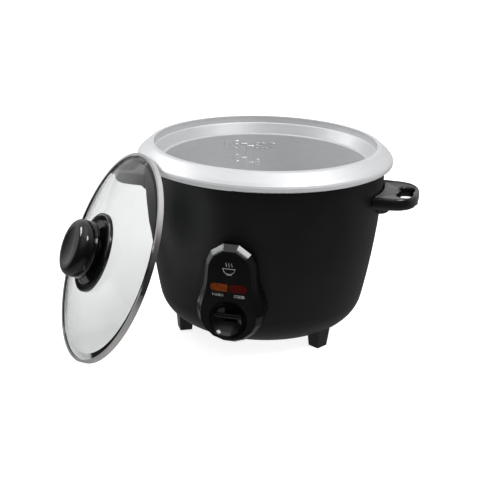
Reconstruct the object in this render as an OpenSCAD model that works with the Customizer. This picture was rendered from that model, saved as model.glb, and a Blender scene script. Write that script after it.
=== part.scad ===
// Drum rice cooker with its glass lid leaning against the collar.
// Millimetres. The table is z = 0, the cooker stands on the z axis, its front faces -Y,
// and the handles stand out along -X and +X.

/* [Overall size] */
// Outer diameter of the inner pot's collar
collar_d = 210; // [180:1:250]
// Height of the collar's crest above the table
overall_h = 161; // [150:1:190]
// Clear height under the body
foot_h = 10.5; // [8:0.5:16]

/* [Body shell] */
// How far the shell stays inside the collar's edge
shell_inset = 6; // [5:0.5:9]
// Height of the collar's crest above the shell's top edge
collar_rise = 13; // [12:0.5:16]
// Thickness of the shell's sheet
shell_t = 1; // [0.8:0.1:1.6]
// Radius of the wall's slow bulge, seen from the side
bulge_r = 625; // [500:5:900]
// Radius of the turn from the wall to the bottom
corner_r = 30; // [24:1:34]
// How far the opening in the shell's bottom stays inside the turn
bottom_lip = 12.5; // [10:0.5:16]

/* [Inner pot] */
// Thickness of the pot's sheet
pot_t = 1.6; // [1.2:0.1:2]
// How far the pot's wall stays inside the collar's edge
pot_inset = 21; // [20:0.5:26]
// Width of the ledge in the pot's mouth that the lid rests on
ledge_w = 2.6; // [2:0.1:4]
// How much narrower the pot's wall is at the bottom
pot_taper = 1.5; // [0.5:0.5:3]
// Radius of the turn from the pot's wall to its floor
pot_corner_r = 18; // [12:1:24]
// Radius of the crest's round top
crest_r = 2.4; // [1.8:0.1:3]
// How far the crest stands inside the collar's edge
crest_inset = 11; // [9:0.5:13]
// Height of the turned-down hem on the collar's edge
hem_h = 2.6; // [2:0.1:4]

/* [Heater] */
// Height of the heating plate's top face
plate_z = 64; // [58:0.5:68]
// How far the heating plate's edge stays inside the pot's wall
plate_inset = 14; // [12:0.5:20]
// Thickness of the heating plate
plate_t = 9; // [8:0.5:11]
// Gap between the pot's floor and the heating plate
pot_gap = 0.4; // [0.3:0.1:1]
// Radius of the tubular element's path
element_path_r = 48; // [40:1:54]
// Radius of the tubular element
element_r = 3; // [2.5:0.1:3.5]

/* [Control panel] */
// How far the panel's face stands out from the shell's top edge
panel_out = 8; // [6:0.5:11]
// Height of the panel's top edge above the table
panel_top = 106.4; // [100:0.2:115]
// Height of the switch recess above the table
recess_z = 45.4; // [44:0.2:50]
// Radius of the switch recess
recess_r = 14.8; // [13:0.1:16]
// Width of each lamp lens
lamp_w = 13.6; // [11:0.1:14]
// Height of each lamp lens
lamp_h = 6.2; // [5:0.1:7]
// Height of the lamps above the table
lamp_z = 71.6; // [69:0.1:74]

/* [Handles] */
// Radius of the handle's outer end, seen from above
handle_r = 44.3; // [38:0.1:50]
// Width of the handles, along the cooker's wall
handle_w = 56.8; // [50:0.2:62]
// Radius of the turns at the handle's outer corners
handle_corner_r = 12.4; // [8:0.1:16]
// How far the handles reach out from the shell's top edge
handle_out = 29.3; // [24:0.1:34]
// Depth of the handles' top face below the shell's top edge
handle_drop = 18; // [12:0.5:28]
// Thickness of the handles
handle_t = 10; // [8:0.5:12]

/* [Lid] */
// How far the lid's edge laps over the pot's wall
lid_lap = 1.4; // [1:0.1:2.2]
// Height of the lid's steel band
band_h = 4; // [3.4:0.1:6]
// Height of the glass dome above the band's middle
dome_h = 14.5; // [10:0.5:15.5]
// Thickness of the glass
glass_t = 3.6; // [3:0.2:4.4]
// Lean of the lid from upright, in degrees
lid_lean = 22.5; // [18:0.5:30]
// Direction in which the leaning lid faces, in degrees from the front towards the left
lid_turn = 52.5; // [45:0.5:60]
// Direction in which the lid stands, in degrees from the front towards the left
lid_side = 48; // [40:0.5:60]

/* [Show] */
// Sub-part to show

/* [Hidden] */
$fn = 96;
e = 0.01;

collar_r = collar_d / 2;
shell_r = collar_r - shell_inset;
shell_z = overall_h - collar_rise;
bulge_z = shell_z + 14;
bulge_x = shell_r - sqrt(pow(bulge_r, 2) - pow(bulge_z - shell_z, 2));
corner_z = foot_h + corner_r;
corner_x = bulge_x + sqrt(pow(bulge_r - corner_r, 2) - pow(bulge_z - corner_z, 2));
tangent_z = corner_z - (bulge_z - corner_z) * corner_r / (bulge_r - corner_r);
bottom_hole_r = corner_x - bottom_lip;

pot_r = collar_r - pot_inset;
lid_r = pot_r + lid_lap;
plate_r = pot_r - plate_inset;

rim_r = shell_r - 5;
rim_h = 5.6;
liner_t = 0.6;
liner_r = pot_r + ledge_w + pot_t + 1.4;
liner_z = plate_z - 11;
liner_corner_r = 14;
liner_top_z = shell_z - shell_t - 0.05;
liner_hole_r = 60;

crest_x = collar_r - crest_inset;
crest_z = overall_h - crest_r;
groove_x = crest_x - crest_r - 0.6;
groove_z = overall_h - 5.4;
wall_z = overall_h - 15;
pot_floor_z = plate_z + pot_gap;
pot_floor_r = pot_r - pot_taper - pot_corner_r;

floor_t = 1;
floor_z = foot_h + shell_t;
floor_r = bottom_hole_r + 8;
post_r = 4;
post_path_r = 34;
foot_angles = [-30, 90, 210];
post_angles = foot_angles;
foot_path_r = corner_x + 10;
foot_w = 15;
foot_d = 14;
foot_top_z = foot_h + 12;
foot_screw_z = corner_z + 0.2
    - sqrt(pow(corner_r - shell_t, 2) - pow(foot_path_r + 3.4 - corner_x, 2));

sensor_r = 15;
sensor_drop = 14;
sensor_travel = 2.5;
sensor_lip = 4;
sensor_hole_r = sensor_r + 1;
ferrite_r = 8.5;
ferrite_h = 6;
housing_r = 17.5;
housing_z = plate_z - 28;
magnet_r = 9;
magnet_h = 5;
magnet_z = plate_z - 22;
rod_r = 2;
rod_z = plate_z - 35.5;

pivot_y = -56;
pivot_z = plate_z - 24;
pin_r = 1.5;
lever_w = 8;
lever_t = 2.4;
face_y = shell_r + panel_out;
stem_y = -(face_y - 13);
stem_z = recess_z + 2.1;
paddle_w = 20.5;
paddle_h = 3.4;

bezel_y = face_y - 1.2;
facet_y = face_y - 5.5;
facet_x = 0.83;
facet_z = 0.9;
panel_mid_z = (panel_top + recess_z - 20) / 2;
panel_w = 58.4;
panel_h = panel_top - recess_z + 20;
lamp_gap = 1.6;
lamp_x = (lamp_w + lamp_gap) / 2;

handle_z = shell_z - handle_drop;
handle_cx = shell_r + handle_out - handle_r;
handle_corner_y = handle_w / 2 - handle_corner_r;
handle_corner_x = sqrt(pow(handle_r - handle_corner_r, 2) - pow(handle_corner_y, 2));
handle_screw_y = 20;
hole_r = 6.7;
hole_x = shell_r + 19.8;
lug_r = 10.5;
lug_w = 13;

inlet_z = 42;
inlet_y = bulge_x + sqrt(pow(bulge_r, 2) - pow(bulge_z - inlet_z, 2)) + 4.4;
inlet_w = 30;
inlet_h = 22;

hub_r = 32;
hub_h = dome_h + 0.9;
neck_r = 14;
knob_r = 23;
knob_top = dome_h + 20;
knob_t = 16;
dish_r = 50;
glass_edge = 1.4;
band_t = 1;
band_lip = 2.2;
glass_r = lid_r - band_t - 0.1;
lean_gap = 1.9;
dome_r = (pow(glass_r, 2) + pow(dome_h, 2)) / (2 * dome_h);
lid_mid_z = lid_r * cos(lid_lean) + band_h / 2 * sin(lid_lean);
edge_rise = shell_z + hem_h - lid_mid_z;
glass_back = glass_t - dome_h + pow(edge_rise / cos(lid_lean), 2) / (2 * dome_r);
lid_stand_r = (collar_r + lean_gap + edge_rise * tan(lid_lean) + glass_back / cos(lid_lean))
    / cos(lid_turn - lid_side);

black_paint = [0.05, 0.05, 0.055];
gloss_black = [0.03, 0.03, 0.033];
satin_alu = [0.74, 0.75, 0.76];
steel = [0.62, 0.63, 0.64];
white_plastic = [0.85, 0.84, 0.8];

// ---------- shared shapes ----------

module tube(r_out, r_in, h) {
    difference() {
        cylinder(r = r_out, h = h);
        translate([0, 0, -1])
            cylinder(r = r_in, h = h + 2);
    }
}

// A screw with its head on top: the head's underside is at z = 0.
module screw(r, len, head_r, head_h) {
    translate([0, 0, -len])
        cylinder(r = r, h = len + e, $fn = 32);
    difference() {
        cylinder(r = head_r, h = head_h, $fn = 48);
        translate([-head_r, -0.4, head_h - 0.6])
            cube([2 * head_r, 0.8, 1]);
    }
}

// The region inside the shell's outer face, from the axis outwards, moved in by inset.
module body_2d(inset, top) {
    intersection() {
        translate([bulge_x, bulge_z])
            circle(r = bulge_r - inset, $fn = 240);
        translate([0, tangent_z])
            square([shell_r + 20, top - tangent_z]);
    }
    translate([corner_x, corner_z])
        circle(r = corner_r - inset);
    translate([0, foot_h + inset])
        square([corner_x, corner_z - foot_h - inset]);
}

module body_solid(inset) {
    rotate_extrude()
        body_2d(inset, shell_z + 20);
}

// Places children in the lid's own frame: x and y across the disc, z out of its top.
module lid_frame() {
    rotate([0, 0, -lid_side])
        translate([0, -lid_stand_r, lid_mid_z])
            rotate([0, 0, lid_side - lid_turn])
                rotate([90 - lid_lean, 0, 0])
                    children();
}

// ---------- body ----------

module outer_shell() {
    color(black_paint)
        difference() {
            rotate_extrude()
                difference() {
                    body_2d(0, shell_z);
                    difference() {
                        body_2d(shell_t, shell_z - shell_t);
                        translate([0, shell_z - shell_t])
                            square([shell_r + 20, 20]);
                    }
                    translate([0, shell_z - 2 * shell_t])
                        square([rim_r, 4 * shell_t]);
                    translate([0, foot_h - 1])
                        square([bottom_hole_r, 3]);
                }
            // slot for the switch lever
            translate([-lever_w / 2 - 2, -face_y, recess_z - 9])
                cube([lever_w + 4, 40, 16]);
            // window for the lamps' leads
            translate([-5, -face_y, lamp_z - 4])
                cube([10, 40, 8]);
            // opening for the inlet
            translate([-inlet_w / 2 + 4, inlet_y - 20, inlet_z - inlet_h / 2 + 4])
                cube([inlet_w - 8, 40, inlet_h - 8]);
            for (a = foot_angles)
                rotate([0, 0, a]) {
                    translate([foot_path_r, 0, 0])
                        cylinder(r = 2.2, h = 30, $fn = 32);
                    translate([floor_r - 4, 0, 0])
                        cylinder(r = 1.6, h = 30, $fn = 32);
                }
            for (s = [-1, 1])
                handle_screw_places(s)
                    cylinder(r = 2.2, h = 12, center = true, $fn = 32);
        }
}

// Where the handle screws pass the wall; z points outwards.
module handle_screw_places(side) {
    for (y = [-handle_screw_y, handle_screw_y])
        rotate([0, 0, side > 0 ? 0 : 180])
            translate([sqrt(pow(shell_r - shell_t - 2.4, 2) - pow(y, 2)), y, handle_z - handle_t / 2])
                rotate([0, 90, 0])
                    children();
}

module rim_ring() {
    color(steel)
        translate([0, 0, shell_z])
            tube(shell_r - 0.4, rim_r, rim_h);
}

module liner() {
    color(satin_alu)
        rotate_extrude()
            difference() {
                union() {
                    liner_2d(0);
                    translate([liner_r - liner_t, liner_top_z - liner_t])
                        square([shell_r - shell_t - 1 - liner_r + liner_t, liner_t]);
                }
                difference() {
                    liner_2d(liner_t);
                    translate([liner_r - liner_t, 0])
                        square([20, 300]);
                }
                translate([0, liner_z - 1])
                    square([liner_hole_r, 3]);
            }
}

// The region inside the liner's outer face, moved in by inset.
module liner_2d(inset) {
    translate([liner_r - liner_corner_r, liner_z + liner_corner_r])
        circle(r = liner_corner_r - inset);
    translate([0, liner_z + inset])
        square([liner_r - liner_corner_r, liner_corner_r]);
    translate([0, liner_z + liner_corner_r])
        square([liner_r - inset, liner_top_z - liner_z - liner_corner_r + (inset > 0 ? 5 : 0)]);
}

module base_plate() {
    color(steel)
        difference() {
            translate([0, 0, floor_z])
                cylinder(r = floor_r, h = floor_t);
            for (a = [0 : 20 : 340])
                rotate([0, 0, a])
                    translate([18, -1.5, 0])
                        cube([10, 3, 40]);
            for (a = post_angles)
                rotate([0, 0, a])
                    translate([post_path_r, 0, 0])
                        cylinder(r = 2.1, h = 40, $fn = 32);
            for (a = foot_angles)
                rotate([0, 0, a])
                    translate([floor_r - 4, 0, 0])
                        cylinder(r = 1.6, h = 40, $fn = 32);
        }
}

module base_screws() {
    color(steel)
        for (a = foot_angles)
            rotate([0, 0, a])
                translate([floor_r - 4, 0, floor_z + floor_t])
                    screw(1.4, 3.4, 2.8, 1.6);
}

module foot(angle) {
    color(gloss_black)
        rotate([0, 0, angle])
            difference() {
                intersection() {
                    translate([foot_path_r, foot_w / 2, 0])
                        rotate([90, 0, 0])
                            linear_extrude(foot_w)
                                polygon([[-foot_d / 2 + 2, 0], [foot_d / 2 - 2, 0],
                                    [foot_d / 2, foot_top_z], [-foot_d / 2, foot_top_z]]);
                    translate([foot_path_r - foot_d, 0, 0])
                        rotate([90, 0, 90])
                            linear_extrude(2 * foot_d)
                                polygon([[-foot_w / 2 + 2, 0], [foot_w / 2 - 2, 0],
                                    [foot_w / 2, foot_top_z], [-foot_w / 2, foot_top_z]]);
                }
                body_solid(-0.05);
                translate([foot_path_r, 0, 2])
                    cylinder(r = 1.7, h = 30, $fn = 32);
            }
}

module foot_screws() {
    color(steel)
        for (a = foot_angles)
            rotate([0, 0, a])
                translate([foot_path_r, 0, foot_screw_z])
                    screw(1.6, 9.5, 3.4, 1.8);
}

// ---------- heater and sensor ----------

module heating_plate() {
    color(satin_alu)
        difference() {
            translate([0, 0, plate_z - plate_t])
                cylinder(r = plate_r, h = plate_t);
            cylinder(r = sensor_hole_r, h = 100);
            // groove for the tubular element
            rotate_extrude()
                translate([element_path_r - element_r - 0.05, plate_z - plate_t - 1])
                    square([2 * element_r + 0.1, plate_t / 2 + element_r + 1.05]);
            for (a = post_angles)
                rotate([0, 0, a])
                    translate([post_path_r, 0, plate_z - plate_t - 1])
                        cylinder(r = 2.1, h = 6, $fn = 32);
        }
}

module heating_element() {
    color(steel) {
        rotate([0, 0, -60])
            rotate_extrude(angle = 300)
                translate([element_path_r, plate_z - plate_t / 2])
                    circle(r = element_r, $fn = 32);
        for (a = [-54, 234])
            rotate([0, 0, a])
                translate([element_path_r, 0, plate_z - plate_t - 9])
                    cylinder(r = element_r - 1, h = plate_t / 2 + 9, $fn = 32);
    }
}

module plate_posts() {
    color(steel)
        for (a = post_angles)
            rotate([0, 0, a])
                translate([post_path_r, 0, floor_z + floor_t])
                    tube(post_r, 2.1, plate_z - plate_t - floor_z - floor_t);
}

module plate_screws() {
    color(steel)
        for (a = post_angles)
            rotate([0, 0, a])
                translate([post_path_r, 0, floor_z])
                    rotate([180, 0, 0])
                        screw(1.9, plate_z - plate_t - floor_z + 4.5, 3.6, 1.8);
}

module sensor_housing() {
    color(steel)
        difference() {
            union() {
                translate([0, 0, housing_z])
                    cylinder(r = housing_r, h = plate_z - plate_t - housing_z);
                translate([0, 0, plate_z - plate_t - 1.2])
                    cylinder(r = housing_r + 6, h = 1.2);
            }
            translate([0, 0, housing_z + 1])
                cylinder(r = sensor_r + 1, h = 60);
            translate([0, 0, housing_z - 1])
                cylinder(r = rod_r + 0.35, h = 4, $fn = 48);
        }
}

module sensor_cap() {
    color(satin_alu)
        translate([0, 0, plate_z - sensor_drop])
            difference() {
                cylinder(r = sensor_r, h = sensor_drop);
                translate([0, 0, 1])
                    cylinder(r = sensor_r - 1, h = sensor_drop - 2.5);
                translate([0, 0, -1])
                    cylinder(r = sensor_r - sensor_lip, h = 4);
            }
}

module sensor_ferrite() {
    color([0.2, 0.2, 0.22])
        translate([0, 0, plate_z - 1.5 - ferrite_h])
            cylinder(r = ferrite_r, h = ferrite_h);
}

module sensor_spring() {
    turns = 4;
    spring_h = plate_z - sensor_drop - housing_z - 1.1;
    color(steel)
        translate([0, 0, housing_z + 1.05])
            linear_extrude(height = spring_h, twist = -360 * turns, slices = 20 * turns, $fn = 12)
                translate([sensor_r - 2.4, 0])
                    circle(r = 0.7);
}

module lower_magnet() {
    color([0.2, 0.2, 0.22])
        translate([0, 0, magnet_z])
            tube(magnet_r, rod_r, magnet_h);
}

module magnet_rod() {
    color(steel) {
        translate([0, 0, rod_z])
            cylinder(r = rod_r, h = magnet_z + magnet_h - rod_z, $fn = 48);
        translate([0, 0, rod_z])
            cylinder(r = rod_r + 2, h = 1.2, $fn = 48);
    }
}

// ---------- switch ----------

module switch_lever() {
    color(steel)
        difference() {
            union() {
                translate([-lever_w / 2, 0, 0])
                    rotate([90, 0, 90])
                        linear_extrude(lever_w)
                            polygon([[stem_y + 8, stem_z - lever_t], [pivot_y + 2, pivot_z - lever_t / 2],
                                [4, rod_z - 0.4 - lever_t], [4, rod_z - 0.4],
                                [-5, rod_z - 0.4], [pivot_y + 2, pivot_z + lever_t / 2],
                                [stem_y + 8, stem_z]]);
                translate([-lever_w / 2, pivot_y, pivot_z])
                    rotate([0, 90, 0])
                        cylinder(r = 4, h = lever_w, $fn = 64);
            }
            translate([-lever_w, pivot_y, pivot_z])
                rotate([0, 90, 0])
                    cylinder(r = pin_r + 0.05, h = 2 * lever_w, $fn = 64);
        }
}

module switch_paddle() {
    color(gloss_black)
        difference() {
            union() {
                translate([-paddle_w / 2, -face_y + 1.2, stem_z - paddle_h / 2])
                    cube([paddle_w, 6.5, paddle_h]);
                translate([-lever_w / 2, -face_y + 2, stem_z - paddle_h / 2])
                    cube([lever_w, face_y - 2 + stem_y + 12, paddle_h]);
            }
            translate([-lever_w, stem_y + 7.9, stem_z - lever_t - 0.1])
                cube([2 * lever_w, 20, lever_t + 0.2]);
        }
}

module lever_pin() {
    color(steel)
        translate([-lever_w / 2 - 4, pivot_y, pivot_z])
            rotate([0, 90, 0])
                cylinder(r = pin_r, h = lever_w + 8, $fn = 64);
}

module lever_bracket() {
    cheek_x = lever_w / 2 + 0.5;
    bracket_z = floor_z + floor_t;
    color(steel)
        difference() {
            union() {
                for (s = [-1, 1])
                    translate([s > 0 ? cheek_x : -cheek_x - 2, pivot_y - 4, bracket_z])
                        cube([2, 20, pivot_z + 5 - bracket_z]);
                translate([-cheek_x - 2, pivot_y - 4, bracket_z])
                    cube([2 * cheek_x + 4, 20, 2]);
            }
            translate([-20, pivot_y, pivot_z])
                rotate([0, 90, 0])
                    cylinder(r = pin_r + 0.05, h = 40, $fn = 64);
        }
}

module contact_block() {
    color(white_plastic)
        translate([8, -36, floor_z + floor_t])
            difference() {
                cube([12, 30, 14]);
                translate([3, -1, 4])
                    cube([6, 32, 20]);
                translate([-1, 4, 10])
                    rotate([0, 90, 0])
                        cylinder(r = 1.05, h = 20, $fn = 48);
            }
}

module contact_arm() {
    color([0.72, 0.5, 0.3])
        translate([11.4, -36, floor_z + floor_t])
            difference() {
                union() {
                    translate([0, 4, 9.2])
                        cube([5.2, 24, 1.2]);
                    translate([0, 4, 10])
                        rotate([0, 90, 0])
                            cylinder(r = 2.2, h = 5.2, $fn = 48);
                    translate([2.6, 25, 10])
                        cylinder(r = 1.6, h = 1.2, $fn = 32);
                }
                translate([-1, 4, 10])
                    rotate([0, 90, 0])
                        cylinder(r = 1.05, h = 20, $fn = 48);
            }
}

module contact_pin() {
    color(steel)
        translate([8, -32, floor_z + floor_t + 10])
            rotate([0, 90, 0])
                cylinder(r = 1, h = 12, $fn = 48);
}

module fixed_contact() {
    color([0.72, 0.5, 0.3])
        translate([8, -36, floor_z + floor_t + 14]) {
            translate([0, 22, 0.02])
                cube([12, 6, 1]);
            translate([6, 25, -0.4])
                cylinder(r = 1.6, h = 0.8, $fn = 32);
        }
}

// ---------- electrical parts ----------

module warm_thermostat() {
    color([0.25, 0.22, 0.2])
        rotate([0, 0, 30])
            translate([34, 0, plate_z - plate_t - 9]) {
                cylinder(r = 8, h = 9);
                translate([-11, -1.5, 0])
                    cube([22, 3, 1.5]);
            }
}

module thermal_fuse() {
    color([0.85, 0.82, 0.7])
        rotate([0, 0, 150])
            translate([34, 0, plate_z - plate_t - 4]) {
                translate([0, 8, 0])
                    rotate([90, 0, 0])
                        cylinder(r = 2.6, h = 16);
                translate([0, 14, 0])
                    rotate([90, 0, 0])
                        cylinder(r = 0.6, h = 28, $fn = 24);
            }
}

module fuse_clip() {
    color(steel)
        rotate([0, 0, 150])
            translate([34, 0, plate_z - plate_t])
                difference() {
                    translate([-4, -3, -8])
                        cube([8, 6, 8]);
                    translate([0, 10, -4])
                        rotate([90, 0, 0])
                            cylinder(r = 2.7, h = 20);
                }
}

module terminal_block() {
    color(white_plastic)
        translate([-16, 9, floor_z + floor_t])
            difference() {
                cube([32, 12, 12]);
                for (x = [6, 16, 26])
                    translate([x, 6, 4])
                        cylinder(r = 2.2, h = 20, $fn = 32);
            }
}

// ---------- control panel ----------

// Half of the panel's outline, grown by m; x is across and y is up.
// The panel's faceted outline at its base, widened by m.
module panel_2d(m) {
    top = panel_top + m;
    low = recess_z - 20 - m;
    half = [
        [6, top - 0.4], [15.8 + m, top - 8], [20.4 + m, top - 17], [23.2 + m, lamp_z - 1],
        [27.6 + m, recess_z + 15], [29.2 + m, recess_z + 10], [28.2 + m, recess_z + 4.6],
        [25.4 + m, recess_z - 2.4], [20.4 + m, recess_z - 9.8], [12.4 + m, low + 3.4], [4.4, low]
    ];
    polygon(concat(half, [for (i = [len(half) - 1 : -1 : 0]) [-half[i][0], half[i][1]]]));
}

// The outline of the panel's flat face, inside its facets, moved in by m.
module panel_face_2d(m) {
    translate([0, panel_mid_z])
        scale([(panel_w / 2 * facet_x - m) / (panel_w / 2), (panel_h / 2 * facet_z - m) / (panel_h / 2)])
            translate([0, -panel_mid_z])
                panel_2d(0);
}

// Stands a flat shape up so that it faces the front, from depth y0 to y1 before the axis.
module facing(y0, y1) {
    translate([0, -y0, 0])
        rotate([90, 0, 0])
            linear_extrude(y1 - y0)
                children();
}

module panel_bezel() {
    color(gloss_black)
        difference() {
            union() {
                facing(60, facet_y)
                    panel_2d(0);
                translate([0, -facet_y, panel_mid_z])
                    rotate([90, 0, 0])
                        linear_extrude(height = face_y - facet_y, scale = [facet_x, facet_z], slices = 1, $fn = 0)
                            translate([0, -panel_mid_z])
                                panel_2d(0);
            }
            body_solid(-0.05);
            // seat for the face plate
            facing(bezel_y - 0.02, face_y + 5)
                panel_face_2d(0.8);
            // hollow behind the lamps
            facing(50, bezel_y - 2.4)
                intersection() {
                    panel_face_2d(1.6);
                    translate([-40, recess_z + recess_r + 3])
                        square([80, 80]);
                }
            translate([0, -50, recess_z])
                rotate([90, 0, 0])
                    cylinder(r = recess_r + 1.6, h = 80);
            for (s = [-1, 1])
                translate([s * lamp_x, 0, lamp_z])
                    facing(50, face_y + 5)
                        square([lamp_w + 0.2, lamp_h + 0.2], center = true);
        }
}

module panel_plate() {
    color(gloss_black)
        difference() {
            facing(bezel_y, face_y)
                panel_face_2d(0.9);
            translate([0, -50, recess_z])
                rotate([90, 0, 0])
                    cylinder(r = recess_r + 0.05, h = 80);
            for (s = [-1, 1])
                scale([s, 1, 1])
                    translate([lamp_x, 0, lamp_z])
                        facing(50, face_y + 5)
                            lens_2d(0.05);
        }
}

// A lamp window: square at the panel's middle and round at its outer end.
module lens_2d(m) {
    translate([-lamp_w / 2 - m, -lamp_h / 2 - m])
        square([lamp_w - lamp_h / 2 + m, lamp_h + 2 * m]);
    translate([lamp_w / 2 - lamp_h / 2, 0])
        circle(r = lamp_h / 2 + m, $fn = 48);
}

module recess_cup() {
    color(gloss_black)
        difference() {
            translate([0, -bezel_y + 0.02, recess_z])
                rotate([-90, 0, 0])
                    rotate_extrude()
                        difference() {
                            intersection() {
                                circle(r = recess_r + 1.2);
                                square(60);
                            }
                            circle(r = recess_r);
                        }
            translate([-lever_w / 2 - 0.8, -face_y + 4, stem_z - paddle_h / 2 - 5.4])
                cube([lever_w + 1.6, 20, paddle_h + 6.2]);
        }
}

module lens(side, tint) {
    color(tint)
        scale([side, 1, 1])
            translate([lamp_x, 0, lamp_z])
                facing(bezel_y - 2, face_y + 0.4)
                    lens_2d(0);
}

module warm_lens() {
    lens(-1, [0.55, 0.22, 0.04]);
}

module cook_lens() {
    lens(1, [0.35, 0.02, 0.02]);
}

module neon(side) {
    color([0.9, 0.8, 0.7])
        translate([side * lamp_x, -(bezel_y - 6.2), lamp_z])
            rotate([0, 90, 0])
                cylinder(r = 2.4, h = 11, center = true);
}

module warm_lamp() {
    neon(-1);
}

module cook_lamp() {
    neon(1);
}

module lamp_holder() {
    color(white_plastic)
        translate([-14, -(bezel_y - 9), lamp_z - 4])
            cube([28, 2, 8]);
}

// ---------- handles ----------

// The handle's outline seen from above, moved in by m, with its arc's middle at the origin.
module handle_2d(m) {
    difference() {
        intersection() {
            circle(r = handle_r - m, $fn = 180);
            translate([0, -handle_w / 2 + m])
                square([handle_r, handle_w - 2 * m]);
        }
        handle_corners_2d(m);
    }
}

// What the rounding of the handle's outer corners takes away.
module handle_corners_2d(m) {
    turn = asin(handle_corner_y / (handle_r - handle_corner_r)) + 1;
    for (s = [-1, 1])
        translate([handle_corner_x, s * handle_corner_y])
            difference() {
                polygon([[0, 0], [40 * cos(turn), s * 40 * sin(turn)], [40, s * 40], [0.4, s * 40]]);
                circle(r = handle_corner_r - m + 0.04);
            }
}

module handle() {
    edge = handle_t / 2 - 0.6;
    color(gloss_black)
        difference() {
            union() {
                translate([handle_cx, 0, handle_z - handle_t])
                    difference() {
                        intersection() {
                            rounded_disc(handle_r, handle_t, edge);
                            rounded_bar(handle_w, handle_t, edge, handle_r + 1);
                        }
                        translate([0, 0, -1])
                            linear_extrude(handle_t + 2)
                                handle_corners_2d(0);
                    }
                // rounded lug under the handle, against the wall
                translate([shell_r - 4, lug_w / 2, handle_z - handle_t + 1])
                    rotate([90, 0, 0])
                        linear_extrude(lug_w)
                            intersection() {
                                circle(r = lug_r);
                                translate([0, -20])
                                    square([20, 20]);
                            }
            }
            body_solid(-0.05);
            // shallow dish in the top face
            translate([handle_cx, 0, handle_z - 0.8])
                linear_extrude(5)
                    handle_2d(5);
            // finger hole of three lobes
            for (y = [-8.6, 0, 8.6])
                translate([hole_x - abs(y) * 0.12, y, handle_z - handle_t - 1])
                    cylinder(r = hole_r, h = handle_t + 2, $fn = 64);
            handle_screw_bores();
        }
}

// A disc on the z axis with rounded edges.
module rounded_disc(r, t, edge) {
    rotate_extrude() {
        square([r - edge, t]);
        translate([0, edge])
            square([r, t - 2 * edge]);
        for (z = [edge, t - edge])
            translate([r - edge, z])
                circle(r = edge, $fn = 48);
    }
}

// A flat bar along +x from the origin with rounded long edges.
module rounded_bar(w, t, edge, len) {
    rotate([90, 0, 90])
        linear_extrude(len) {
            translate([-w / 2 + edge, 0])
                square([w - 2 * edge, t]);
            translate([-w / 2, edge])
                square([w, t - 2 * edge]);
            for (x = [-w / 2 + edge, w / 2 - edge], z = [edge, t - edge])
                translate([x, z])
                    circle(r = edge, $fn = 48);
        }
}

module handle_screw_bores() {
    handle_screw_places(1)
        translate([0, 0, -4])
            cylinder(r = 1.9, h = 16, $fn = 32);
}

module handle_right() {
    handle();
}

module handle_left() {
    rotate([0, 0, 180])
        handle();
}

module handle_screws() {
    color(steel)
        for (s = [-1, 1])
            handle_screw_places(s)
                rotate([180, 0, 0])
                    screw(1.8, 12, 3.6, 1.4);
}

// ---------- power inlet ----------

module inlet_socket() {
    color(gloss_black)
        difference() {
            translate([-inlet_w / 2, inlet_y - 12, inlet_z - inlet_h / 2])
                cube([inlet_w, 18, inlet_h]);
            difference() {
                body_solid(-0.05);
                translate([-inlet_w / 2 + 4.2, 0, inlet_z - inlet_h / 2 + 4.2])
                    cube([inlet_w - 8.4, 200, inlet_h - 8.4]);
            }
            translate([-inlet_w / 2 + 5.4, inlet_y - 7, inlet_z - 6.4])
                cube([inlet_w - 10.8, 20, 12.8]);
            for (s = [-1, 1])
                translate([s * (inlet_w / 2 - 2.6), inlet_y - 4, inlet_z])
                    rotate([-90, 0, 0])
                        cylinder(r = 1.35, h = 20, $fn = 32);
            for (s = [-1, 1])
                translate([s * 4.5, inlet_y - 20, inlet_z])
                    rotate([-90, 0, 0])
                        cylinder(r = 1.25, h = 30, $fn = 32);
        }
}

module inlet_pins() {
    color(steel)
        for (s = [-1, 1])
            translate([s * 4.5, inlet_y - 16, inlet_z])
                rotate([-90, 0, 0])
                    cylinder(r = 1.2, h = 20, $fn = 32);
}

module inlet_screws() {
    color(steel)
        for (s = [-1, 1])
            translate([s * (inlet_w / 2 - 2.6), inlet_y + 6, inlet_z])
                rotate([-90, 0, 0])
                    screw(1.3, 9, 2.2, 1.2);
}

// ---------- inner pot ----------

// The region inside the pot's wall and mouth; m is the sheet's thickness for the outer face.
module pot_bowl_2d(m) {
    translate([pot_floor_r, pot_floor_z + pot_t + pot_corner_r])
        circle(r = pot_corner_r + m);
    polygon([
        [0, pot_floor_z + pot_t - m], [pot_floor_r, pot_floor_z + pot_t - m],
        [pot_r - pot_taper + m, pot_floor_z + pot_t + pot_corner_r],
        [pot_r + m, wall_z], [0, wall_z]
    ]);
}

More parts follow.
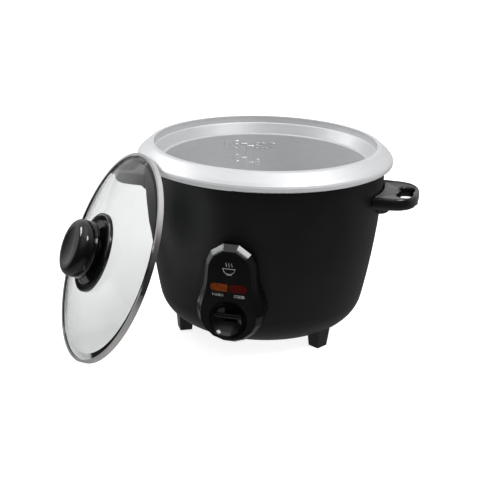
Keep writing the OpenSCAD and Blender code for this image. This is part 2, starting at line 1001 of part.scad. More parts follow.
module inner_pot() {
    color(satin_alu)
        rotate_extrude()
            difference() {
                union() {
                    pot_bowl_2d(pot_t);
                    // ledge, mouth and collar
                    polygon([
                        [0, wall_z - 1.4], [pot_r + pot_t, wall_z - 1.4],
                        [pot_r + ledge_w + pot_t, wall_z - 0.6],
                        [groove_x - 3.6 + pot_t, groove_z - 7],
                        [groove_x - 0.8 + pot_t, groove_z - 2], [groove_x + pot_t + 0.4, crest_z - 0.4],
                        [crest_x + 0.6, crest_z], [collar_r - 1.5, shell_z + hem_h - 1],
                        [collar_r, shell_z + hem_h], [collar_r - 0.7, shell_z + hem_h + 1.7],
                        [collar_r - 2.6, shell_z + hem_h + 3.9],
                        [crest_x + crest_r * 0.74, crest_z + crest_r * 0.68],
                        [crest_x, crest_z + crest_r], [0, crest_z + crest_r]
                    ]);
                    translate([crest_x, crest_z])
                        circle(r = crest_r, $fn = 64);
                    translate([collar_r - 1.2, shell_z + 0.6])
                        square([1.2, hem_h - 0.4]);
                    translate([collar_r - 1.2, shell_z + 0.6])
                        circle(r = 1.2, $fn = 48);
                }
                pot_bowl_2d(0);
                polygon([
                    [0, wall_z - 1], [pot_r - 0.02, wall_z - 1], [pot_r, wall_z],
                    [pot_r + ledge_w, wall_z + 0.8], [groove_x - 0.8, groove_z - 0.8], [groove_x, groove_z],
                    [crest_x - crest_r, crest_z], [crest_x - crest_r, crest_z + 10], [0, crest_z + 10]
                ]);
            }
}

// ---------- lid ----------

// The region under a dome that is moved in by inset, out to the glass's edge.
module dome_2d(inset) {
    intersection() {
        translate([0, dome_h - dome_r])
            circle(r = dome_r - inset, $fn = 360);
        translate([0, -3 * glass_t])
            square([glass_r - min(inset, 0), 60]);
    }
}

module lid_glass() {
    color([0.8, 0.85, 0.85, 0.35])
        lid_frame()
            rotate_extrude()
                difference() {
                    intersection() {
                        dome_2d(0);
                        translate([0, -glass_edge])
                            square([200, 60]);
                    }
                    dome_2d(glass_t);
                    square([4.4, 60]);
                }
}

// Steel band folded round the glass's edge.
module lid_band() {
    color(satin_alu)
        lid_frame()
            rotate_extrude()
                difference() {
                    translate([lid_r - band_lip, -band_h / 2])
                        square([band_lip, band_h]);
                    difference() {
                        dome_2d(-0.1);
                        translate([0, -40])
                            square([200, 40 - glass_edge - 0.1]);
                    }
                    translate([lid_r - 10, -band_h])
                        square([10 - band_t, band_h - glass_edge - 0.1]);
                }
}

module knob_base() {
    rim_w = 6.6;
    color(gloss_black)
        lid_frame()
            rotate_extrude()
                difference() {
                    union() {
                        square([hub_r - 0.8, hub_h]);
                        square([hub_r, hub_h - 0.8]);
                        translate([hub_r - 0.8, hub_h - 0.8])
                            circle(r = 0.8, $fn = 48);
                        square([neck_r, knob_top - knob_t]);
                    }
                    dome_2d(-0.1);
                    translate([neck_r, hub_h - 0.6])
                        square([hub_r - rim_w - neck_r, 3]);
                    square([2.2, 80]);
                }
}

module knob() {
    top_edge = 6;
    low_edge = 2.5;
    color(gloss_black)
        lid_frame()
            rotate_extrude()
                difference() {
                    union() {
                        translate([0, knob_top - knob_t])
                            square([knob_r - low_edge, 2 * low_edge]);
                        translate([knob_r - low_edge, knob_top - knob_t + low_edge])
                            circle(r = low_edge, $fn = 48);
                        translate([0, knob_top - knob_t + low_edge])
                            square([knob_r, knob_t - low_edge - top_edge]);
                        translate([knob_r - top_edge, knob_top - top_edge])
                            circle(r = top_edge, $fn = 64);
                        translate([0, knob_top - top_edge])
                            square([knob_r - top_edge, top_edge]);
                    }
                    translate([0, knob_top + dish_r - 2.4])
                        circle(r = dish_r, $fn = 240);
                    translate([0, knob_top - knob_t - 1])
                        square([2.2, 7]);
                }
}

module lid_screw() {
    color(steel)
        lid_frame()
            translate([0, 0, dome_h - glass_t - 1.3])
                rotate([180, 0, 0])
                    screw(2, knob_top - knob_t - dome_h + glass_t + 6, 4.4, 2.2);
}

module lid_washer() {
    color([0.9, 0.9, 0.9])
        lid_frame()
            translate([0, 0, dome_h - glass_t - 1.3])
                tube(9, 2.1, 1);
}

// ---------- assembly ----------

outer_shell();
rim_ring();
liner();
base_plate();
base_screws();
foot(foot_angles[0]);  // foot_right
foot(foot_angles[2]);  // foot_left
foot(foot_angles[1]);  // foot_back
foot_screws();
heating_plate();
heating_element();
plate_posts();
plate_screws();
sensor_housing();
sensor_cap();
sensor_ferrite();
sensor_spring();
lower_magnet();
magnet_rod();
switch_lever();
switch_paddle();
lever_pin();
lever_bracket();
contact_block();
contact_arm();
contact_pin();
fixed_contact();
warm_thermostat();
thermal_fuse();
fuse_clip();
terminal_block();
panel_bezel();
panel_plate();
recess_cup();
warm_lens();
cook_lens();
warm_lamp();
cook_lamp();
lamp_holder();
handle_right();
handle_left();
handle_screws();
inlet_socket();
inlet_pins();
inlet_screws();
inner_pot();
lid_glass();
lid_band();
knob_base();
knob();
lid_screw();
lid_washer();
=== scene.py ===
import math

import bmesh
import bpy
from mathutils import Matrix, Vector
from mathutils.bvhtree import BVHTree


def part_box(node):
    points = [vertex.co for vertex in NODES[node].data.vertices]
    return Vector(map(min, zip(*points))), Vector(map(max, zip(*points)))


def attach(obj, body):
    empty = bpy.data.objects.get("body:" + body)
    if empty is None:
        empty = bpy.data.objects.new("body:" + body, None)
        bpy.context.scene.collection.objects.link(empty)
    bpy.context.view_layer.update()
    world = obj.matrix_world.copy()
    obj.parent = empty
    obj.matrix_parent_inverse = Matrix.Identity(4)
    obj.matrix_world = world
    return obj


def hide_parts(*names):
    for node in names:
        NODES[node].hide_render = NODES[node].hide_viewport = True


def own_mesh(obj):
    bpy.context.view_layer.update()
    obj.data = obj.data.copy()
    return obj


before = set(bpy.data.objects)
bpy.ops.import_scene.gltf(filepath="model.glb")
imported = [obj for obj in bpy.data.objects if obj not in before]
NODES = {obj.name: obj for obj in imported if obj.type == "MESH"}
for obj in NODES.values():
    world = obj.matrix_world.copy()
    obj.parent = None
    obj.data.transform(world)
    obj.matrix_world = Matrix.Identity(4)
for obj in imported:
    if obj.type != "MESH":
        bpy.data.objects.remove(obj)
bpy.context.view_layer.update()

MM = 0.001
scene = bpy.context.scene


# ---------- sizes, in millimetres ----------

# drum and pot
SHELL_R = 99  # largest radius of the painted drum
COLLAR_R = 105  # outside radius of the pot's collar
WALL_R = 83.8  # inside radius of the pot's wall at the marks
MARK_R = 83.7  # radius of the marks' centre line
MARK_WIRE_R = 0.55

# panel and switch
FACE_Y = 107  # distance of the panel's face in front of the axis
LABEL_Z = 65.4
LABEL_X = 8.6
LABEL_W = 8.2
LABEL_H = 2
ICON_Z = 87  # height of the printed bowl's brim
RECESS_Z = 45.4
RECESS_R = 14.8
RECESS_SIDES = 128
BOWL_R = 17  # radius of the sphere that the recess follows
BOWL_T = 1
KEY_Z = 47.65
KEY_W = 20.5
KEY_H = 3.4

# handles
HANDLE_TOP = 130
HANDLE_T = 10
HANDLE_HALF_W = 28.3
HANDLE_END_X = 105  # where a handle starts to round off
HANDLE_END_L = 23.1  # how far it reaches from there
HANDLE_END_POWER = 2.45  # 2 would be an ellipse, more is squarer
HOLE_X = 118.8
HOLE_LOBE_R = 6.6
HOLE_LOBES_Y = (-8.6, 0, 8.6)
HOLE_LOBE_BACK = 0.12  # how far a side lobe sits back, as a share of its distance from the middle

# lid
LID_R = 85.4
DOME_H = 14.5
HUB_H = DOME_H + 0.9
GLASS_T = 3.6
GLASS_INSET = 1.1  # from the band's outside to the glass's edge
BAND_H = 4
LID_REST_Z = 150.6  # height at which the lid leans towards the collar
LEAN_GAP = 1.9
LID_SIDE = math.radians(48)
LID_TURN = math.radians(52.5)
LID_LEAN = math.radians(22.5)


# ---------- materials ----------

NOISE_LOW = 0.3
NOISE_HIGH = 0.7
BUMP_DEPTH = 0.0001
RINGS_ALONG = 6.0
GLASS_IOR = 1.45


def new_material(name):
    material = bpy.data.materials.new(name)
    material.use_nodes = True
    tree = material.node_tree
    return material, tree, tree.nodes["Principled BSDF"]


def noise(tree, scale, detail, stretch=(1, 1, 1)):
    """Noise over the object's own coordinates; scale is in cells per metre."""
    where = tree.nodes.new("ShaderNodeTexCoord")
    mapping = tree.nodes.new("ShaderNodeMapping")
    mapping.inputs["Scale"].default_value = stretch
    texture = tree.nodes.new("ShaderNodeTexNoise")
    texture.inputs["Scale"].default_value = scale
    texture.inputs["Detail"].default_value = detail
    tree.links.new(where.outputs["Object"], mapping.inputs["Vector"])
    tree.links.new(mapping.outputs["Vector"], texture.inputs["Vector"])
    return texture.outputs["Fac"]


def ramp(tree, value, stops):
    """Colours along a value; stops are (position, colour)."""
    node = tree.nodes.new("ShaderNodeValToRGB")
    elements = node.color_ramp.elements
    while len(elements) < len(stops):
        elements.new(0.5)
    for element, (position, colour) in zip(elements, stops):
        element.position = position
        element.color = (*colour, 1)
    tree.links.new(value, node.inputs["Fac"])
    return node.outputs["Color"]


def spread(tree, value, low, high):
    """Takes a noise's usual range to the range from low to high."""
    node = tree.nodes.new("ShaderNodeMapRange")
    node.inputs["From Min"].default_value = NOISE_LOW
    node.inputs["From Max"].default_value = NOISE_HIGH
    node.inputs["To Min"].default_value = low
    node.inputs["To Max"].default_value = high
    tree.links.new(value, node.inputs["Value"])
    return node.outputs["Result"]


def bump(tree, bsdf, value, strength):
    node = tree.nodes.new("ShaderNodeBump")
    node.inputs["Strength"].default_value = strength
    node.inputs["Distance"].default_value = BUMP_DEPTH
    tree.links.new(value, node.inputs["Height"])
    tree.links.new(node.outputs["Normal"], bsdf.inputs["Normal"])


def spun(tree, across):
    """Fine rings round the z axis, as a lathe or a buffing wheel leaves them."""
    where = tree.nodes.new("ShaderNodeTexCoord")
    split = tree.nodes.new("ShaderNodeSeparateXYZ")
    tree.links.new(where.outputs["Object"], split.inputs["Vector"])
    angle = tree.nodes.new("ShaderNodeMath")
    angle.operation = "ARCTAN2"
    tree.links.new(split.outputs["X"], angle.inputs[0])
    tree.links.new(split.outputs["Y"], angle.inputs[1])
    flat = tree.nodes.new("ShaderNodeCombineXYZ")
    tree.links.new(split.outputs["X"], flat.inputs["X"])
    tree.links.new(split.outputs["Y"], flat.inputs["Y"])
    radius = tree.nodes.new("ShaderNodeVectorMath")
    radius.operation = "LENGTH"
    tree.links.new(flat.outputs["Vector"], radius.inputs[0])
    joined = tree.nodes.new("ShaderNodeCombineXYZ")
    tree.links.new(angle.outputs["Value"], joined.inputs["X"])
    tree.links.new(radius.outputs["Value"], joined.inputs["Y"])
    tree.links.new(split.outputs["Z"], joined.inputs["Z"])
    mapping = tree.nodes.new("ShaderNodeMapping")
    mapping.inputs["Scale"].default_value = (RINGS_ALONG, across, across)
    tree.links.new(joined.outputs["Vector"], mapping.inputs["Vector"])
    texture = tree.nodes.new("ShaderNodeTexNoise")
    texture.inputs["Scale"].default_value = 1
    texture.inputs["Detail"].default_value = 2
    tree.links.new(mapping.outputs["Vector"], texture.inputs["Vector"])
    return texture.outputs["Fac"]


def surface(name, dark, light, rough, cells, grain, metallic=0, specular=0.5, stretch=(1, 1, 1)):
    """A material whose colour and roughness wander between two values; grain is its (cells, strength)."""
    material, tree, bsdf = new_material(name)
    patches = noise(tree, cells, 4, stretch)
    tree.links.new(ramp(tree, patches, [(NOISE_LOW, dark), (NOISE_HIGH, light)]), bsdf.inputs["Base Color"])
    tree.links.new(spread(tree, patches, *rough), bsdf.inputs["Roughness"])
    bsdf.inputs["Metallic"].default_value = metallic
    bsdf.inputs["Specular IOR Level"].default_value = specular
    bump(tree, bsdf, noise(tree, grain[0], 2), grain[1])
    return material


def spun_metal(name, dark, light, rough, across, grain, metallic):
    """A metal with rings round the z axis; grain is its (cells, strength)."""
    material, tree, bsdf = new_material(name)
    rings = spun(tree, across)
    tree.links.new(ramp(tree, rings, [(0.25, dark), (0.75, light)]), bsdf.inputs["Base Color"])
    tree.links.new(spread(tree, noise(tree, 60, 4), *rough), bsdf.inputs["Roughness"])
    bsdf.inputs["Metallic"].default_value = metallic
    bump(tree, bsdf, noise(tree, grain[0], 2), grain[1])
    return material


def glass(name, dark, light, rough):
    material, tree, bsdf = new_material(name)
    smear = noise(tree, 25, 3)
    tree.links.new(ramp(tree, smear, [(NOISE_LOW, dark), (NOISE_HIGH, light)]), bsdf.inputs["Base Color"])
    tree.links.new(spread(tree, smear, *rough), bsdf.inputs["Roughness"])
    bsdf.inputs["IOR"].default_value = GLASS_IOR
    bsdf.inputs["Transmission Weight"].default_value = 1
    return material


# black paint and plastics
PAINT = surface("satin_black_paint", (0.0022, 0.0023, 0.0025), (0.0032, 0.0033, 0.0035), (0.4, 0.48),
                cells=40, grain=(1500, 0.12), specular=0.3)
GLOSS = surface("gloss_black_plastic", (0.0016, 0.0016, 0.0018), (0.0026, 0.0026, 0.0028), (0.05, 0.1),
                cells=60, grain=(500, 0.02))
HANDLE = surface("moulded_black_plastic", (0.003, 0.003, 0.003), (0.0045, 0.0045, 0.0044), (0.16, 0.26),
                 cells=80, grain=(1800, 0.05))

# metals
ALU = spun_metal("satin_aluminium", (0.585, 0.59, 0.6), (0.625, 0.63, 0.64), (0.46, 0.54),
                 across=900, grain=(3500, 0.16), metallic=0.62)
CAST = surface("cast_aluminium", (0.5, 0.51, 0.52), (0.62, 0.62, 0.63), (0.45, 0.6),
               cells=200, grain=(900, 0.3), metallic=1)
STEEL = surface("brushed_steel", (0.5, 0.5, 0.5), (0.66, 0.66, 0.66), (0.28, 0.42),
                cells=150, grain=(1200, 0.12), metallic=1, stretch=(1, 1, 6))
CHROME = surface("polished_steel", (0.7, 0.69, 0.67), (0.78, 0.77, 0.75), (0.07, 0.14),
                 cells=90, grain=(700, 0.02), metallic=1)
BRASS = surface("contact_brass", (0.5, 0.3, 0.12), (0.68, 0.44, 0.2), (0.25, 0.4),
                cells=200, grain=(1500, 0.1), metallic=1)
MARK = surface("pressed_aluminium", (0.78, 0.785, 0.79), (0.84, 0.845, 0.85), (0.3, 0.4),
               cells=400, grain=(2500, 0.1), metallic=1)

# what is inside, and the print
FERRITE = surface("ferrite", (0.03, 0.03, 0.032), (0.06, 0.06, 0.062), (0.5, 0.7),
                  cells=300, grain=(2500, 0.3))
CREAM = surface("white_plastic", (0.6, 0.59, 0.54), (0.7, 0.69, 0.64), (0.4, 0.55),
                cells=120, grain=(1500, 0.1))
RUBBER = surface("silicone", (0.62, 0.62, 0.6), (0.72, 0.72, 0.7), (0.5, 0.65),
                 cells=150, grain=(1500, 0.08))
PRINT = surface("printed_label", (0.42, 0.42, 0.42), (0.5, 0.5, 0.5), (0.4, 0.5),
                cells=500, grain=(2000, 0.05))

# lenses and glass
AMBER = surface("amber_lens", (0.05, 0.009, 0.0006), (0.1, 0.02, 0.001), (0.12, 0.22),
                cells=420, grain=(900, 0.1), specular=0.2)
RED = surface("red_lens", (0.02, 0.0006, 0.0006), (0.036, 0.001, 0.001), (0.12, 0.22),
              cells=420, grain=(900, 0.1), specular=0.2)
CLEAR = glass("clear_glass", (0.52, 0.53, 0.53), (0.56, 0.572, 0.572), (0, 0.03))
NEON = glass("lamp_glass", (0.85, 0.75, 0.65), (0.92, 0.82, 0.72), (0.05, 0.1))

NODE_MATERIALS = {
    "outer_shell": PAINT, "rim_ring": STEEL, "liner": CAST, "base_plate": STEEL, "base_screws": STEEL,
    "foot_right": HANDLE, "foot_left": HANDLE, "foot_back": HANDLE, "foot_screws": STEEL,
    "heating_plate": CAST, "heating_element": STEEL, "plate_posts": STEEL, "plate_screws": STEEL,
    "sensor_housing": STEEL, "sensor_cap": CAST, "sensor_ferrite": FERRITE, "sensor_spring": STEEL,
    "lower_magnet": FERRITE, "magnet_rod": STEEL, "switch_lever": STEEL, "switch_paddle": GLOSS,
    "lever_pin": STEEL, "lever_bracket": STEEL, "contact_block": CREAM, "contact_arm": BRASS,
    "contact_pin": STEEL, "fixed_contact": BRASS, "warm_thermostat": CREAM, "thermal_fuse": CREAM,
    "fuse_clip": STEEL, "terminal_block": CREAM, "panel_bezel": GLOSS, "panel_plate": GLOSS,
    "recess_cup": GLOSS, "warm_lens": AMBER, "cook_lens": RED, "warm_lamp": NEON, "cook_lamp": NEON,
    "lamp_holder": CREAM, "handle_right": HANDLE, "handle_left": HANDLE, "handle_screws": STEEL,
    "inlet_socket": HANDLE, "inlet_pins": STEEL, "inlet_screws": STEEL, "inner_pot": ALU,
    "lid_glass": CLEAR, "lid_band": CHROME, "knob_base": GLOSS, "knob": GLOSS, "lid_screw": STEEL,
    "lid_washer": RUBBER,
}
for node_name, node_material in NODE_MATERIALS.items():
    node_mesh = NODES[node_name].data
    node_mesh.materials.clear()
    node_mesh.materials.append(node_material)


# ---------- meshes ----------

def full_turn(count):
    return [2 * math.pi * k / count for k in range(count)]


def finish_mesh(name, bm, material, body, angle):
    """Makes a piece of a mesh; edges sharper than the angle, in degrees, stay sharp."""
    bmesh.ops.recalc_face_normals(bm, faces=bm.faces)
    mesh = bpy.data.meshes.new(name)
    bm.to_mesh(mesh)
    bm.free()
    mesh.materials.append(material)
    mesh.shade_smooth()
    mesh.set_sharp_from_angle(angle=math.radians(angle))
    piece = bpy.data.objects.new(name, mesh)
    scene.collection.objects.link(piece)
    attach(piece, body)
    return piece


def skin(bm, rings, closed=False):
    """Joins rings of points, in millimetres, into one closed surface.

    Where closed, the last ring is joined to the first; otherwise both end rings get a face.
    """
    rows = [[bm.verts.new(Vector(p) * MM) for p in ring] for ring in rings]
    pairs = list(zip(rows, rows[1:]))
    if closed:
        pairs.append((rows[-1], rows[0]))
    for low, high in pairs:
        for i in range(len(low)):
            j = (i + 1) % len(low)
            bm.faces.new((low[i], low[j], high[j], high[i]))
    if not closed:
        bm.faces.new(rows[0])
        bm.faces.new(rows[-1])


def circle(middle, side, up, radius, sides):
    """Points round a middle, in the plane of two unit vectors."""
    return [middle + (side * math.cos(t) + up * math.sin(t)) * radius for t in full_turn(sides)]


def tube(bm, points, radius, sides=8):
    """A round stroke along points, in millimetres, with eased ends."""
    end_reach = 0.8 * radius
    end_radius = 0.55 * radius
    points = [Vector(p) for p in points]
    last = len(points) - 1
    rings = []
    for i, p in enumerate(points):
        ahead = (points[min(i + 1, last)] - points[max(i - 1, 0)]).normalized()
        side = ahead.cross(Vector((0, 0, 1) if abs(ahead.z) < 0.9 else (1, 0, 0))).normalized()
        up = ahead.cross(side)
        if i == 0:
            rings.append(circle(p - ahead * end_reach, side, up, end_radius, sides))
        rings.append(circle(p, side, up, radius, sides))
        if i == last:
            rings.append(circle(p + ahead * end_reach, side, up, end_radius, sides))
    skin(bm, rings)


def cut_out(piece, bm, angle):
    """Takes the closed mesh bm away from a piece, for good."""
    bmesh.ops.recalc_face_normals(bm, faces=bm.faces)
    mesh = bpy.data.meshes.new("cutter")
    bm.to_mesh(mesh)
    bm.free()
    cutter = bpy.data.objects.new("cutter", mesh)
    scene.collection.objects.link(cutter)
    cut = piece.modifiers.new("cut", "BOOLEAN")
    cut.operation = "DIFFERENCE"
    cut.object = cutter
    cut.solver = "EXACT"
    shaped = bpy.data.meshes.new_from_object(piece.evaluated_get(bpy.context.evaluated_depsgraph_get()))
    piece.modifiers.clear()
    piece.data = shaped
    shaped.set_sharp_from_angle(angle=math.radians(angle))
    bpy.data.objects.remove(cutter)


# ---------- lettering ----------

# each letter's strokes, on a grid one letter high
STROKES = {
    "1": [[(0.1, 0.78), (0.3, 1), (0.3, 0)]],
    "2": [[(0.02, 0.8), (0.18, 1), (0.42, 1), (0.58, 0.82), (0.58, 0.62), (0, 0), (0.6, 0)]],
    "5": [[(0.56, 1), (0.08, 1), (0.03, 0.55), (0.38, 0.6), (0.58, 0.42), (0.58, 0.18), (0.4, 0),
           (0.15, 0), (0, 0.14)]],
    "6": [[(0.52, 0.9), (0.38, 1), (0.18, 1), (0.02, 0.7), (0.02, 0.2), (0.2, 0), (0.4, 0),
           (0.58, 0.2), (0.58, 0.38), (0.4, 0.56), (0.2, 0.56), (0.05, 0.38)]],
    "8": [[(0.3, 0.54), (0.08, 0.66), (0.08, 0.86), (0.22, 1), (0.38, 1), (0.52, 0.86), (0.52, 0.66),
           (0.3, 0.54), (0.04, 0.38), (0.04, 0.16), (0.2, 0), (0.4, 0), (0.56, 0.16), (0.56, 0.38),
           (0.34, 0.52)]],
    "l": [[(0.1, 0.3), (0.35, 0.7), (0.35, 0.95), (0.25, 1), (0.18, 0.85), (0.18, 0.15), (0.28, 0),
           (0.42, 0.1)]],
    ".": [[(0.1, 0), (0.12, 0.07)]],
    "A": [[(0, 0), (0.3, 1), (0.6, 0)], [(0.12, 0.35), (0.48, 0.35)]],
    "C": [[(0.58, 0.82), (0.42, 1), (0.18, 1), (0, 0.78), (0, 0.22), (0.18, 0), (0.42, 0), (0.58, 0.18)]],
    "K": [[(0, 0), (0, 1)], [(0.55, 1), (0, 0.42)], [(0.2, 0.6), (0.58, 0)]],
    "M": [[(0, 0), (0, 1), (0.3, 0.35), (0.6, 1), (0.6, 0)]],
    "O": [[(0.18, 1), (0.42, 1), (0.6, 0.78), (0.6, 0.22), (0.42, 0), (0.18, 0), (0, 0.22), (0, 0.78),
           (0.18, 1)]],
    "P": [[(0, 0), (0, 1), (0.42, 1), (0.58, 0.85), (0.58, 0.62), (0.42, 0.47), (0, 0.47)]],
    "R": [[(0, 0), (0, 1), (0.42, 1), (0.56, 0.86), (0.56, 0.64), (0.42, 0.5), (0, 0.5)],
          [(0.26, 0.5), (0.58, 0)]],
    "U": [[(0, 1), (0, 0.22), (0.18, 0), (0.42, 0), (0.6, 0.22), (0.6, 1)]],
    "W": [[(0, 1), (0.15, 0), (0.3, 0.7), (0.45, 0), (0.6, 1)]],
}
LETTER_STEP = 0.82
NARROW_STEPS = {".": 0.36, "1": 0.58}
LETTER_GAP = 0.22


def lettering(text, left, low, height, width):
    """Strokes of text as lists of (across, up); width is the width of all the letters together."""
    steps = [NARROW_STEPS.get(letter, LETTER_STEP) for letter in text]
    unit = width / (sum(steps) - LETTER_GAP)
    strokes = []
    at = 0
    for letter, step in zip(text, steps):
        for stroke in STROKES[letter]:
            strokes.append([(left + (at + x) * unit, low + y * height) for x, y in stroke])
        at += step
    return strokes


# ---------- pot's marks ----------

def make_marks():
    """Litre and cup marks pressed up from the pot's wall; across is measured round the wall."""
    rule = -36.2
    strokes = [[(rule, 112.5), (rule, 137)]]
    strokes += [[(-41, 137.6), (rule, 137.6)], [(-40.9, 124.8), (rule, 124.8)]]
    strokes += [[(rule, 135.3), (-30.3, 135.3)], [(rule, 120), (-29.8, 120)]]
    strokes += [[(-38, z), (-37.6, z)] for z in (131.2, 116)]
    strokes += lettering("l1.5", -57.5, 134.2, 6.2, 13.6)
    strokes += lettering("1.2", -53, 121.6, 6.2, 9.6)
    strokes += lettering("8CUP", -28, 133.4, 4.8, 17.2)
    strokes += lettering("6", -28.2, 118.2, 4.8, 4.2)
    parts = 3  # each stretch is cut up, so that it follows the wall
    bm = bmesh.new()
    for stroke in strokes:
        fine = []
        for (u0, z0), (u1, z1) in zip(stroke, stroke[1:]):
            fine += [(u0 + (u1 - u0) * k / parts, z0 + (z1 - z0) * k / parts) for k in range(parts)]
        fine.append(stroke[-1])
        path = [(MARK_R * math.sin(u / WALL_R), MARK_R * math.cos(u / WALL_R), z) for u, z in fine]
        tube(bm, path, MARK_WIRE_R)
    finish_mesh("pot_marks", bm, MARK, "inner_pot", 60)


# ---------- panel's print ----------

def make_print():
    """The lamps' labels and a small bowl with steam, as raised print on the panel's face."""
    strokes = []
    for word, middle in (("WARM", -LABEL_X), ("COOK", LABEL_X)):
        strokes += lettering(word, middle - LABEL_W / 2, LABEL_Z - LABEL_H / 2, LABEL_H, LABEL_W)
    lower_half = [math.pi + math.pi * k / 12 for k in range(13)]
    strokes.append([(4.6 * math.cos(t), ICON_Z + 4.2 * math.sin(t)) for t in lower_half])
    for half_w, z in ((5.2, ICON_Z), (1.8, ICON_Z - 4.8)):
        strokes.append([(-half_w, z), (half_w, z)])
    for x in (-2.2, 0, 2.2):
        strokes.append([(x + 0.45 * math.sin(k * 0.9), ICON_Z + 1.5 + k * 0.5) for k in range(8)])
    bm = bmesh.new()
    for stroke in strokes:
        tube(bm, [(x, -FACE_Y + 0.02, z) for x, z in stroke], 0.12, 6)
    finish_mesh("panel_print", bm, PRINT, "cooker", 60)


# ---------- panel ----------

def mirrored(half):
    """A closed outline from its right half, which runs from the top down."""
    return half + [(-x, z) for x, z in reversed(half)]


def wall_behind(outline):
    """Points just inside the drum's wall, straight behind an outline of (x, z)."""
    shell = NODES["outer_shell"].data
    tree = BVHTree.FromPolygons([v.co for v in shell.vertices], [p.vertices for p in shell.polygons])
    points = []
    for x, z in outline:
        hit = tree.ray_cast(Vector((x, -140, z)) * MM, Vector((0, 1, 0)))[0]
        points.append((x, hit.y / MM + 0.4, z))
    return points


def round_shape(bm, profile):
    """A round shape on the recess's axis, from pairs of radius and y."""
    turn = full_turn(RECESS_SIDES)
    skin(bm, [[(r * math.cos(t), y, RECESS_Z + r * math.sin(t)) for t in turn] for r, y in profile])


def make_panel():
    """The switch panel: one flat face with wide polished facets round it, set on the drum's curve."""
    face = mirrored([(4.8, 101), (13.2, 95.4), (16.6, 88), (17.6, 73), (20.4, 60.5), (21.8, 55),
                     (22.4, 49.2), (21.6, 42.2), (18.4, 36.2), (11.6, 30.6), (3.8, 28.2)])
    edge = mirrored([(6.2, 105), (15.8, 98.6), (19.6, 89.6), (21.2, 71.4), (24.4, 61.4), (26.2, 55.6),
                     (26.4, 49.8), (24.8, 42.6), (20.6, 35.2), (12.8, 28.4), (4.4, 25.4)])
    facet_depth = 5.2
    middle_z = 65
    back = wall_behind(edge)
    rings = [
        [(x * 0.985, -FACE_Y, middle_z + (z - middle_z) * 0.993) for x, z in face],
        [(x, -FACE_Y + 0.25, z) for x, z in face],
        [(x, min(-FACE_Y + facet_depth, y - 0.5), z) for x, y, z in back],
        back,
    ]
    bm = bmesh.new()
    skin(bm, rings)
    panel = finish_mesh("panel_front", bm, GLOSS, "cooker", 8)
    mouth_r = RECESS_R + 0.3
    hole = bmesh.new()
    round_shape(hole, [(mouth_r, -112), (mouth_r, -FACE_Y), (RECESS_R, -FACE_Y + 0.4), (RECESS_R, -70)])
    cut_out(panel, hole, 8)
    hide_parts("panel_bezel", "panel_plate")


# ---------- switch recess and key ----------

def make_bowl():
    """The shallow bowl round the switch's key, with a slot for the key's stem."""
    bowl_edge = RECESS_R - 0.1
    tip = 0.05  # radius of the small flat that closes each end
    centre_y = -FACE_Y + 0.4 - math.sqrt(BOWL_R ** 2 - bowl_edge ** 2)
    inner = [bowl_edge * math.sin(math.pi / 2 * k / 20) for k in range(1, 21)]
    profile = [(tip, centre_y + BOWL_R)]
    profile += [(r, centre_y + math.sqrt(BOWL_R ** 2 - r * r)) for r in inner]
    profile += [(RECESS_R - 0.06, -FACE_Y + 0.1), (RECESS_R - 0.02, -FACE_Y + 0.02)]
    profile += [(RECESS_R - 0.02, -FACE_Y + 1.3)]
    profile += [(r, centre_y + math.sqrt((BOWL_R + BOWL_T) ** 2 - r * r)) for r in reversed(inner)]
    profile += [(tip, centre_y + BOWL_R + BOWL_T)]
    bm = bmesh.new()
    round_shape(bm, profile)
    bowl = finish_mesh("switch_recess_bowl", bm, GLOSS, "cooker", 50)
    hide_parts("recess_cup")
    slot_x = 4.7
    slot_low = 40.6
    slot_high = 50.2
    corners = [(-slot_x, slot_low), (slot_x, slot_low), (slot_x, slot_high), (-slot_x, slot_high)]
    slot = bmesh.new()
    skin(slot, [[(x, y, z) for x, z in corners] for y in (-104, -88)])
    cut_out(bowl, slot, 50)


def block(bm, low, high, edge):
    """A box between two corners, in millimetres, with rounded edges."""
    made = bmesh.ops.create_cube(bm, size=1)["verts"]
    for vert in made:
        vert.co = Vector([(a + b) / 2 * MM + c * (b - a) * MM for a, b, c in zip(low, high, vert.co)])
    edges = list({e for v in made for e in v.link_edges})
    bmesh.ops.bevel(bm, geom=edges, offset=edge * MM, segments=3, profile=0.5, affect="EDGES")


def make_key():
    """The switch's key: a rounded ledge for a fingertip on a stem that grips the lever's end."""
    stem_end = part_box("switch_lever")[0][1] / MM + 0.6
    stem_half_w = 4
    low = KEY_Z - KEY_H / 2
    high = KEY_Z + KEY_H / 2
    bm = bmesh.new()
    block(bm, (-KEY_W / 2, -FACE_Y + 1.2, low), (KEY_W / 2, -FACE_Y + 4, high), 0.55)
    block(bm, (-stem_half_w, -FACE_Y + 2, low + 0.1), (stem_half_w, stem_end, high - 0.1), 0.4)
    key = finish_mesh("switch_key", bm, GLOSS, "switch", 40)
    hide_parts("switch_paddle")


# ---------- sensor's spring ----------

def make_spring():
    """A wound spring under the sensor's cap, with closed ends."""
    low, high = (Vector(corner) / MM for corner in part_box("sensor_spring"))
    wire = 0.45
    turns = 5.5
    steps = 40
    closed_share = 0.12
    radius = (high.x - low.x) / 2 - wire
    bottom = low.z + wire
    top = high.z - wire
    count = int(turns * steps)
    points = []
    for k in range(count + 1):
        share = k / count
        climb = min(1, max(0, (share - closed_share) / (1 - 2 * closed_share)))
        angle = 2 * math.pi * turns * share
        points.append((radius * math.cos(angle), radius * math.sin(angle), bottom + (top - bottom) * climb))
    bm = bmesh.new()
    tube(bm, points, wire)
    spring = finish_mesh("sensor_coil", bm, STEEL, "cooker", 60)
    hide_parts("sensor_spring")
    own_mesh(spring)


# ---------- handles ----------

